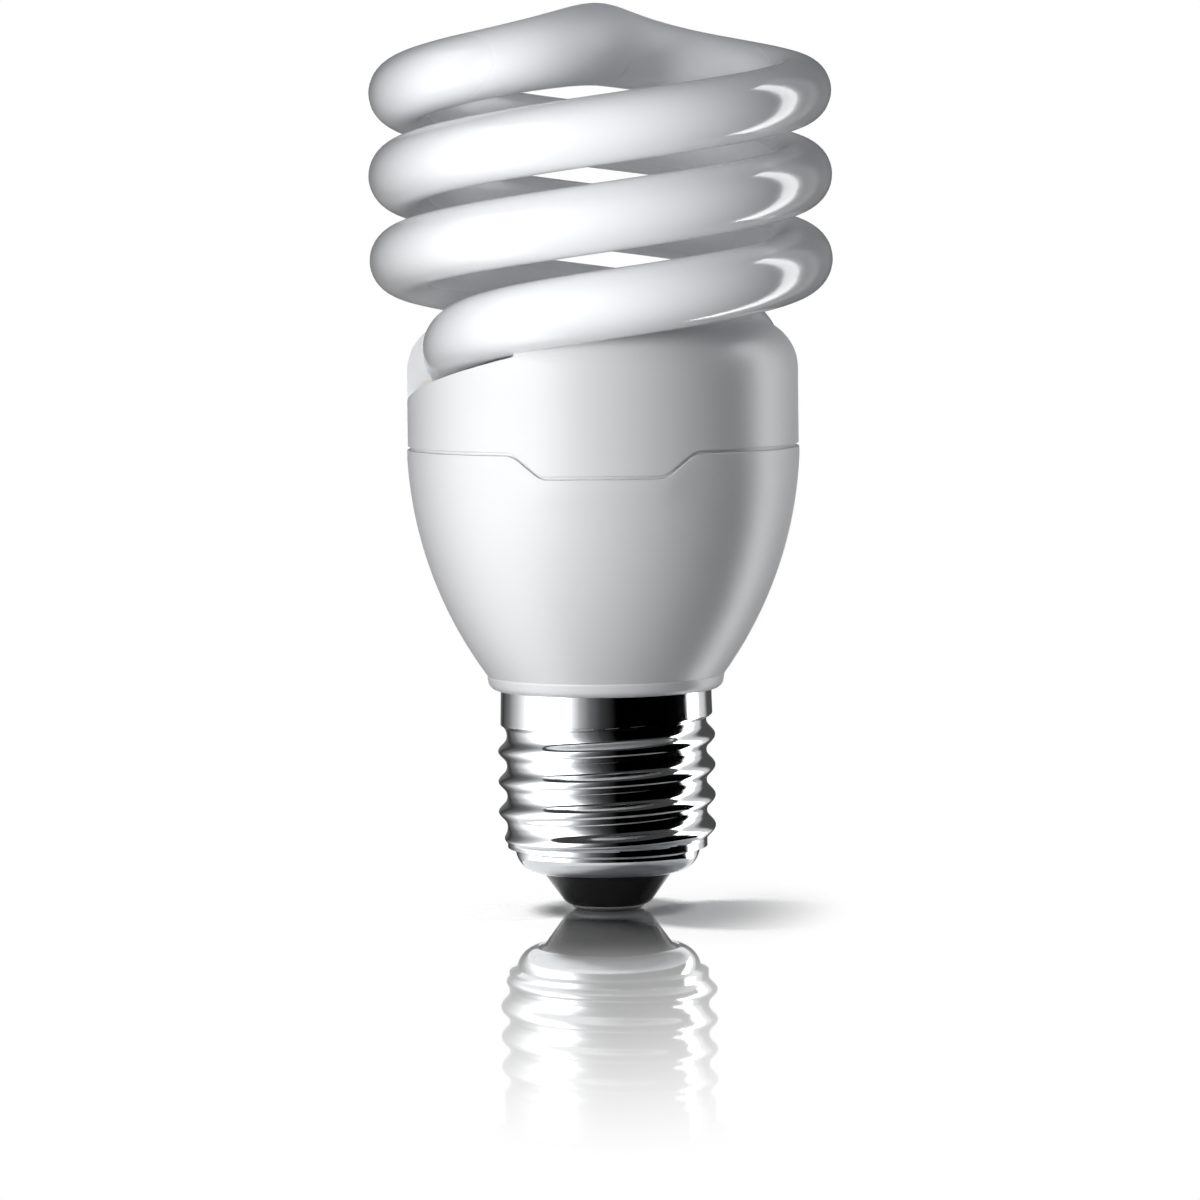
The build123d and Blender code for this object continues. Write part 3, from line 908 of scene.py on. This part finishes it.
def fadeOut(tree, first, last, shift=(0.0, 0.0, 0.0), shape=(1.0, 1.0, 1.0)):
    # 0 near the bulb's foot and 1 far from it
    coords = tree.nodes.new("ShaderNodeTexCoord")
    mapping = addNode(tree, "ShaderNodeMapping", Location=shift, Scale=shape)
    distance = tree.nodes.new("ShaderNodeVectorMath")
    distance.operation = "LENGTH"
    tree.links.new(coords.outputs["Object"], mapping.inputs["Vector"])
    tree.links.new(mapping.outputs["Vector"], distance.inputs[0])
    return stepOf(tree, distance.outputs["Value"], first, last)


def addRound(name, radius, height, z):
    # an open ring wall, or a flat disc where it has no height
    startClean()
    points = stageSizes["roundPoints"]
    if height:
        bpy.ops.mesh.primitive_cylinder_add(vertices=points, radius=radius, depth=height,
                                            end_fill_type="NOTHING", location=(0, 0, z + height / 2))
    else:
        bpy.ops.mesh.primitive_circle_add(vertices=points, radius=radius, fill_type="NGON",
                                          location=(0, 0, z))
    bpy.ops.object.transform_apply(location=True)
    return nameNew(name)


def makeFloor():
    s = stageSizes
    floor = addRound("floor", s["floorRadius"], 0, 0)
    finish, tree, shader = newFinish("floorWhite")
    tree.nodes.remove(shader)
    # matte in the shadow and plain white round it
    seen = seenDirectly(tree)
    matte = tree.nodes.new("ShaderNodeBsdfDiffuse")
    tree.links.new(mixColours(tree, seen, s["floorBounce"], s["floorTone"]), matte.inputs["Color"])
    white = tree.nodes.new("ShaderNodeEmission")
    away = fadeOut(tree, s["shadowNear"], s["shadowFar"], s["shadowShift"], s["shadowShape"])
    plain = joinOf(tree, "MULTIPLY", away, seen)
    ground = mixShaders(tree, plain, matte.outputs["BSDF"], white.outputs["Emission"])
    # a mirror that fades away from the foot, with duller spots beside it
    polish = addNode(tree, "ShaderNodeBsdfGlossy", Color=(1.0, 1.0, 1.0, 1.0),
                     Roughness=s["mirrorRoughness"])
    share = addNode(tree, "ShaderNodeLayerWeight", Blend=0.5).outputs["Facing"]
    mirrorFade = fadeOut(tree, s["mirrorNear"], s["mirrorFar"], shape=s["mirrorShape"])
    fades = [(mirrorFade, s["mirrorShare"], 0.0),
             (fadeOut(tree, s["footNear"], s["footFar"]), s["mirrorAtFoot"], 1.0)]
    for middle, near, far in s["dullSpots"]:
        fades.append((fadeOut(tree, near, far, tuple(-c for c in middle)), s["dullShare"], 1.0))
    for fade, first, last in fades:
        level = tree.nodes.new("ShaderNodeMapRange")
        level.inputs["To Min"].default_value = first
        level.inputs["To Max"].default_value = last
        tree.links.new(fade, level.inputs["Value"])
        share = joinOf(tree, "MULTIPLY", share, level.outputs["Result"])
    surface = mixShaders(tree, share, ground, polish.outputs["BSDF"])
    showSurface(tree, clearFromBehind(tree, surface))
    floor.data.materials.append(finish)
    return floor


def litGroup(name, objects, state="INCLUDE"):
    group = bpy.data.collections.new(name)
    for item in objects:
        group.objects.link(item)
    for entry in group.collection_objects:
        entry.light_linking.link_state = state
    return group


def onlyReflected(card, finish, seenBy):
    card.data.materials.append(finish)
    card.light_linking.receiver_collection = seenBy
    card.visible_camera = False
    card.visible_diffuse = False
    card.visible_shadow = False
    card.visible_transmission = False


def glowing(name, level):
    finish, tree, shader = newFinish(name)
    tree.nodes.remove(shader)
    glow = addNode(tree, "ShaderNodeEmission", Strength=level)
    showSurface(tree, glow.outputs["Emission"])
    return finish, tree, glow


def tentGlow(name, fromAbove):
    # the light changes with the turn about the bulb
    s = tentSizes
    finish, tree, glow = glowing(name, s["strength"])
    coords = tree.nodes.new("ShaderNodeTexCoord")
    mapping = addNode(tree, "ShaderNodeMapping", Rotation=(0, 0, math.pi / 2))
    turn = tree.nodes.new("ShaderNodeTexGradient")
    turn.gradient_type = "RADIAL"
    ramp = tree.nodes.new("ShaderNodeValToRGB")
    stops = ramp.color_ramp.elements
    for azimuth, _ in s["wall"][1:-1]:
        stops.new(azimuth / 360.0 + 0.5)
    for stop, (_, level) in zip(stops, s["wall"]):
        stop.color = (level, level, level, 1.0)
    tree.links.new(coords.outputs["Object"], mapping.inputs["Vector"])
    tree.links.new(mapping.outputs["Vector"], turn.inputs["Vector"])
    tree.links.new(turn.outputs["Fac"], ramp.inputs["Fac"])
    tree.links.new(ramp.outputs["Color"], glow.inputs["Color"])
    if fromAbove:
        showSurface(tree, clearFromBehind(tree, glow.outputs["Emission"]))
    return finish


def makeTent(floor):
    # the bulb mirrors the tent, and the floor mirrors a plain white screen instead
    s = tentSizes
    byBulb = litGroup("seenByBulb", [floor], "EXCLUDE")
    byFloor = litGroup("seenByFloor", [floor])
    wall = addRound("tentWall", s["radius"], s["height"], 0)
    onlyReflected(wall, tentGlow("tentWall", False), byBulb)
    roof = addRound("tentRoof", s["radius"], 0, s["height"])
    onlyReflected(roof, glowing("tentRoof", s["roof"])[0], byBulb)
    sheet = addRound("tentFloor", s["radius"], 0, mm)
    bpy.ops.object.mode_set(mode="EDIT")
    bpy.ops.mesh.select_all(action="SELECT")
    bpy.ops.mesh.inset(thickness=s["radius"] - s["footHole"])
    bpy.ops.mesh.delete(type="FACE")
    bpy.ops.object.mode_set(mode="OBJECT")
    onlyReflected(sheet, tentGlow("tentFloor", True), byBulb)
    finish, tree, glow = glowing("whiteScreen", 1.0)
    clear = tree.nodes.new("ShaderNodeBsdfTransparent")
    both = tree.nodes.new("ShaderNodeAddShader")
    tree.links.new(glow.outputs["Emission"], both.inputs[0])
    tree.links.new(clear.outputs["BSDF"], both.inputs[1])
    showSurface(tree, both.outputs["Shader"])
    screen = addRound("whiteScreen", s["screenRadius"], s["screenHeight"], 0)
    onlyReflected(screen, finish, byFloor)


def makeLamp(name):
    # shows in no reflection, because the tent gives those
    s = lamps[name]
    turn, lift = math.radians(s["azimuth"]), math.radians(s["elevation"])
    away = Vector((math.sin(turn) * math.cos(lift), -math.cos(turn) * math.cos(lift), math.sin(lift)))
    lamp = bpy.data.lights.new(name, "AREA")
    lamp.shape = "RECTANGLE"
    lamp.size, lamp.size_y = s["size"]
    lamp.energy = s["power"]
    holder = bpy.data.objects.new(name, lamp)
    bpy.context.scene.collection.objects.link(holder)
    holder.location = away * s["distance"] + Vector((0, 0, s["height"]))
    holder.rotation_euler = (-away).to_track_quat("-Z", "Y").to_euler()
    holder.visible_camera = False
    holder.visible_glossy = False
    lit = litGroup(name + "Lit", [pieces[node] for node in s["lit"]])
    holder.light_linking.receiver_collection = lit


makeWorld()
pieces["floor"] = makeFloor()
makeTent(pieces["floor"])
for name in lamps:
    makeLamp(name)
print("stage set")

# camera, level with the coil's lower half and a little left of the axis

cameraSizes = {
    "distance": 620.0,
    "height": 83.0,
    "lookLeft": 0.6,
    "lookHeight": 37.0,
    "roll": 0.65,
    "lens": 156.2,
    "sensor": 36.0,
    "clip": (0.01, 20.0),
}


def makeCamera():
    s = cameraSizes
    lens = bpy.data.cameras.new("camera")
    lens.sensor_width = s["sensor"]
    lens.lens = s["lens"]
    lens.clip_start, lens.clip_end = s["clip"]
    camera = bpy.data.objects.new("camera", lens)
    bpy.context.scene.collection.objects.link(camera)
    camera.location = Vector((-s["lookLeft"], -s["distance"], s["height"])) * mm
    aim = Vector((-s["lookLeft"], 0.0, s["lookHeight"])) * mm - camera.location
    roll = Matrix.Rotation(math.radians(-s["roll"]), 3, "Z")
    camera.rotation_euler = (aim.to_track_quat("-Z", "Y").to_matrix() @ roll).to_euler()
    bpy.context.scene.camera = camera


makeCamera()
bpy.context.scene.view_settings.view_transform = "Standard"
